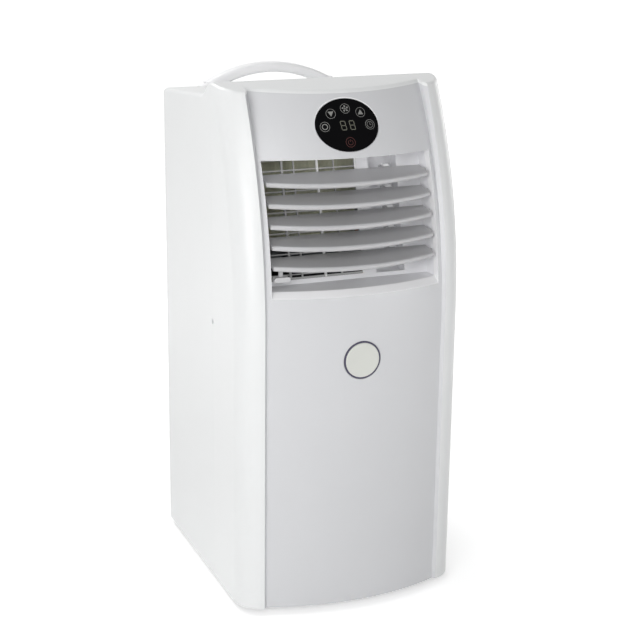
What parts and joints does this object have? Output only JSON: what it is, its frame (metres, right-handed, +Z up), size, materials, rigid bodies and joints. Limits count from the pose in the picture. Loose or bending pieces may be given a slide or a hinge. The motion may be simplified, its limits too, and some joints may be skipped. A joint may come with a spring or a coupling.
{
  "type": "portable air conditioner",
  "caption": "Upright white room air conditioner on castors, with coupled tilting outlet louvres, control lens, arched handle, filter tray, hose outlet and two blowers.",
  "frame": {"origin": "on the floor, below the centre of the bounding box", "axes": "+X to the right seen from the front, +Y to the rear, +Z up"},
  "size_m": [0.316, 0.3686, 0.7],
  "materials": {
    "white_case": "glossy white moulded plastic",
    "white_trim": "satin white moulded plastic",
    "grey_duct": "light grey moulded plastic",
    "black_lens": "glossy black printed lens",
    "badge": "plain pale disc",
    "board": "green circuit board",
    "fins": "coated aluminium fins",
    "bare_fins": "bare aluminium fins",
    "copper": "copper tube",
    "black_metal": "black painted steel",
    "steel": "zinc plated steel",
    "grey_plastic": "grey moulded plastic",
    "black_plastic": "black moulded plastic",
    "rubber": "black rubber",
    "mesh": "dark filter mesh"
  },
  "bodies": {
    "housing": {"front_shell": "white_case", "rear_shell": "white_case", "carry_handle": "white_case", "base_pan": "grey_plastic", "mid_deck": "grey_plastic", "case_screws": "steel", "front_badge": "badge", "control_lens": "black_lens", "control_board": "board", "outlet_duct": "grey_duct", "outlet_guard": "white_trim", "drain_tray": "grey_plastic", "evaporator_fins": "fins", "evaporator_ends": "copper", "evaporator_scroll": "grey_plastic", "evaporator_motor": "steel", "condenser_fins": "bare_fins", "condenser_ends": "copper", "condenser_scroll": "grey_plastic", "condenser_motor": "steel", "exhaust_duct": "grey_plastic", "exhaust_collar": "white_case", "compressor": "black_metal", "compressor_grommets": "rubber", "compressor_bolts": "steel", "accumulator": "black_metal", "refrigerant_pipes": "copper", "control_box": "grey_plastic", "power_board": "board", "run_capacitor": "steel", "lower_grille": "white_case", "cord_gland": "black_plastic"},
    "evaporator_fan": {"evaporator_wheel": "black_plastic"},
    "condenser_fan": {"condenser_wheel": "black_plastic"},
    "filter_tray": {"intake_grille": "white_case", "filter_frame": "black_plastic", "filter_mesh": "mesh"},
    "drain_stopper": {"drain_plug": "black_plastic"},
    "link": {"louvre_link": "white_trim"},
    "blade_1": {"louvre_1": "white_trim"},
    "blade_2": {"louvre_2": "white_trim"},
    "blade_3": {"louvre_3": "white_trim"},
    "blade_4": {"louvre_4": "white_trim"},
    "blade_5": {"louvre_5": "white_trim"},
    "castor_1": {"castor_fork_1": "black_plastic", "castor_axle_1": "steel"},
    "wheel_1": {"castor_wheel_1": "black_plastic"},
    "castor_2": {"castor_fork_2": "black_plastic", "castor_axle_2": "steel"},
    "wheel_2": {"castor_wheel_2": "black_plastic"},
    "castor_3": {"castor_fork_3": "black_plastic", "castor_axle_3": "steel"},
    "wheel_3": {"castor_wheel_3": "black_plastic"},
    "castor_4": {"castor_fork_4": "black_plastic", "castor_axle_4": "steel"},
    "wheel_4": {"castor_wheel_4": "black_plastic"}
  },
  "joints": [
    {"name": "louvre_1_tilt", "type": "hinge", "parent": "housing", "child": "blade_1", "pos_m": [0, -0.11043, 0.58316], "axis": [1, 0, 0], "range_deg": [-30.5, 25.5]},
    {"name": "louvre_2_tilt", "type": "hinge", "parent": "housing", "child": "blade_2", "pos_m": [0, -0.1192, 0.55746], "axis": [1, 0, 0], "range_deg": [-30.5, 25.5]},
    {"name": "louvre_3_tilt", "type": "hinge", "parent": "housing", "child": "blade_3", "pos_m": [0, -0.12655, 0.53176], "axis": [1, 0, 0], "range_deg": [-30.5, 25.5]},
    {"name": "louvre_4_tilt", "type": "hinge", "parent": "housing", "child": "blade_4", "pos_m": [0, -0.13252, 0.50606], "axis": [1, 0, 0], "range_deg": [-30.5, 25.5]},
    {"name": "louvre_5_tilt", "type": "hinge", "parent": "housing", "child": "blade_5", "pos_m": [0, -0.13717, 0.48036], "axis": [1, 0, 0], "range_deg": [-30, 25]},
    {"name": "link_sway", "type": "hinge", "parent": "blade_5", "child": "link", "pos_m": [0.062, -0.12006, 0.48418], "axis": [1, 0, 0], "range_deg": [-25.5, 30.5]},
    {"name": "evaporator_fan_spin", "type": "hinge", "parent": "housing", "child": "evaporator_fan", "pos_m": [-0.118, 0.052, 0.54], "axis": [1, 0, 0], "continuous": true},
    {"name": "condenser_fan_spin", "type": "hinge", "parent": "housing", "child": "condenser_fan", "pos_m": [-0.068, 0.0515, 0.157], "axis": [0, 1, 0], "continuous": true},
    {"name": "filter_slide", "type": "slide", "parent": "housing", "child": "filter_tray", "axis": [0, 1, 0], "range_m": [0, 0.08]},
    {"name": "drain_plug_pull", "type": "slide", "parent": "housing", "child": "drain_stopper", "axis": [0, 1, 0], "range_m": [0, 0.025]},
    {"name": "castor_1_swivel", "type": "hinge", "parent": "housing", "child": "castor_1", "pos_m": [-0.112, -0.1055, 0.019], "axis": [0, 0, 1], "continuous": true},
    {"name": "wheel_1_roll", "type": "hinge", "parent": "castor_1", "child": "wheel_1", "pos_m": [-0.112, -0.0915, 0.019], "axis": [1, 0, 0], "continuous": true},
    {"name": "castor_2_swivel", "type": "hinge", "parent": "housing", "child": "castor_2", "pos_m": [0.112, -0.1055, 0.019], "axis": [0, 0, 1], "continuous": true},
    {"name": "wheel_2_roll", "type": "hinge", "parent": "castor_2", "child": "wheel_2", "pos_m": [0.112, -0.0915, 0.019], "axis": [1, 0, 0], "continuous": true},
    {"name": "castor_3_swivel", "type": "hinge", "parent": "housing", "child": "castor_3", "pos_m": [-0.112, 0.1355, 0.019], "axis": [0, 0, 1], "continuous": true},
    {"name": "wheel_3_roll", "type": "hinge", "parent": "castor_3", "child": "wheel_3", "pos_m": [-0.112, 0.1495, 0.019], "axis": [1, 0, 0], "continuous": true},
    {"name": "castor_4_swivel", "type": "hinge", "parent": "housing", "child": "castor_4", "pos_m": [0.112, 0.1355, 0.019], "axis": [0, 0, 1], "continuous": true},
    {"name": "wheel_4_roll", "type": "hinge", "parent": "castor_4", "child": "wheel_4", "pos_m": [0.112, 0.1495, 0.019], "axis": [1, 0, 0], "continuous": true}
  ],
  "couplings": [
    {"joint": "louvre_1_tilt", "follows": "louvre_5_tilt", "ratio": 1},
    {"joint": "louvre_2_tilt", "follows": "louvre_5_tilt", "ratio": 1},
    {"joint": "louvre_3_tilt", "follows": "louvre_5_tilt", "ratio": 1},
    {"joint": "louvre_4_tilt", "follows": "louvre_5_tilt", "ratio": 1},
    {"joint": "link_sway", "follows": "louvre_5_tilt", "ratio": -1}
  ]
}
